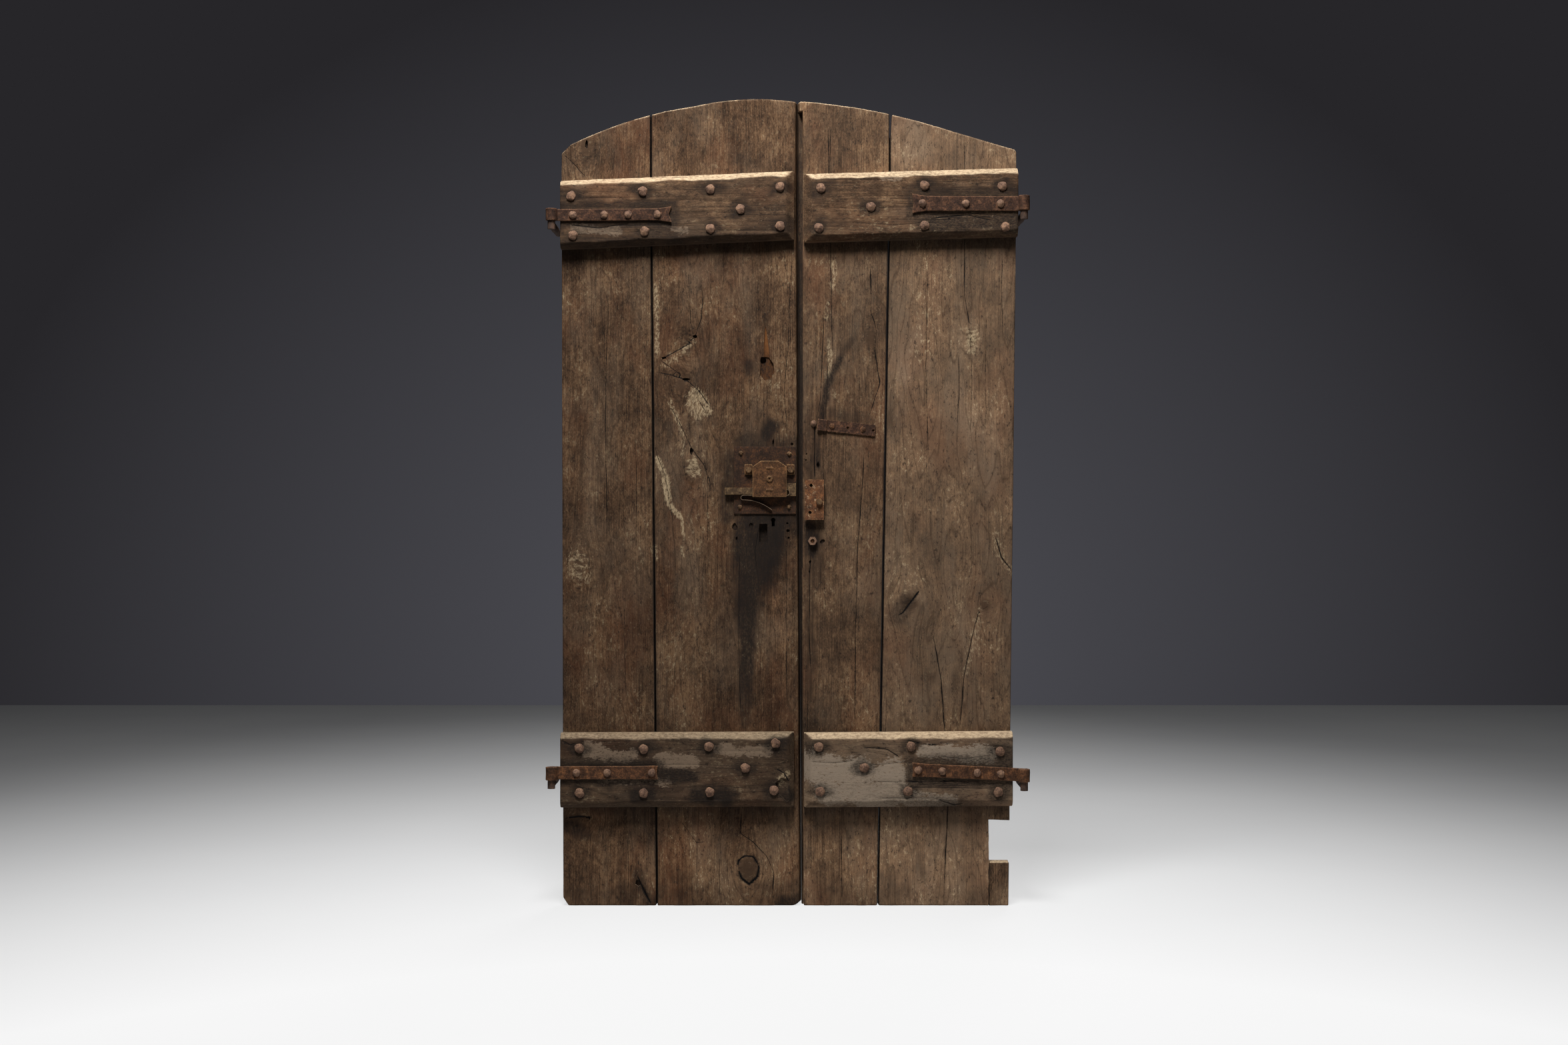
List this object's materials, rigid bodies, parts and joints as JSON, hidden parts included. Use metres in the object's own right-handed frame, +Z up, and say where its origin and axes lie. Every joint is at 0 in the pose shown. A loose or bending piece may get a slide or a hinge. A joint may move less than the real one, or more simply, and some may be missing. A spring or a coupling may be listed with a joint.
{
  "type": "arched double-leaf plank door",
  "caption": "Arched pair of old plank door leaves with tilted battens, strap hinges on pintles, a rim lock with a sliding bolt, a keeper and a hasp strap.",
  "frame": {"origin": "foot of the left leaf beside the meeting line, at mid thickness of the planks", "axes": "+X to the right seen from the room side, +Y away from the room, +Z up"},
  "size_m": [1.152, 0.1741, 1.937],
  "materials": {
    "plank_wood": "old, dry, dirty plank wood with open grain",
    "batten_wood": "old, dry, dirty batten wood, dusty on the upper slopes",
    "strap_iron": "brown rusted wrought iron",
    "nail_iron": "brown-grey rusted forged iron",
    "pintle_iron": "dark rusted wrought iron",
    "lock_iron": "brown rusted sheet iron",
    "spring_steel": "rusted strip steel",
    "keeper_iron": "orange-brown rusted iron with pale crust"
  },
  "bodies": {
    "pintles": {"left_upper_pintle": "pintle_iron", "left_lower_pintle": "pintle_iron", "right_upper_pintle": "pintle_iron", "right_lower_pintle": "pintle_iron"},
    "left_leaf": {"left_outer_plank": "plank_wood", "left_inner_plank": "plank_wood", "left_upper_batten": "batten_wood", "left_lower_batten": "batten_wood", "left_upper_strap": "strap_iron", "left_lower_strap": "strap_iron", "left_upper_batten_nails": "nail_iron", "left_lower_batten_nails": "nail_iron", "left_upper_strap_nails": "nail_iron", "left_lower_strap_nails": "nail_iron", "lock_back_plate": "lock_iron", "lock_plate_screws": "lock_iron", "lock_cover": "lock_iron", "lock_cover_bolts": "lock_iron", "lock_spring": "spring_steel"},
    "right_leaf": {"right_inner_plank": "plank_wood", "right_outer_plank": "plank_wood", "right_corner_patch": "plank_wood", "right_upper_batten": "batten_wood", "right_lower_batten": "batten_wood", "right_upper_strap": "strap_iron", "right_lower_strap": "strap_iron", "right_upper_batten_nails": "nail_iron", "right_lower_batten_nails": "nail_iron", "right_upper_strap_nails": "nail_iron", "right_lower_strap_nails": "nail_iron", "keeper": "keeper_iron", "keeper_bolt": "keeper_iron", "through_bolt": "keeper_iron", "hex_nut": "keeper_iron", "hasp_strap": "strap_iron", "hasp_nails": "nail_iron", "knob_nail": "nail_iron"},
    "lock_bolt": {"lock_bolt": "lock_iron"}
  },
  "joints": [
    {"name": "left_leaf_hinge", "type": "hinge", "parent": "pintles", "child": "left_leaf", "pos_m": [-0.562, -0.06605, 0.9], "axis": [0, 0, 1], "range_deg": [-110, 0]},
    {"name": "right_leaf_hinge", "type": "hinge", "parent": "pintles", "child": "right_leaf", "pos_m": [0.562, -0.06605, 0.9], "axis": [0, 0, 1], "range_deg": [0, 110]},
    {"name": "lock_bolt_slide", "type": "slide", "parent": "left_leaf", "child": "lock_bolt", "axis": [1, 0, 0], "range_m": [0, 0.034]}
  ]
}
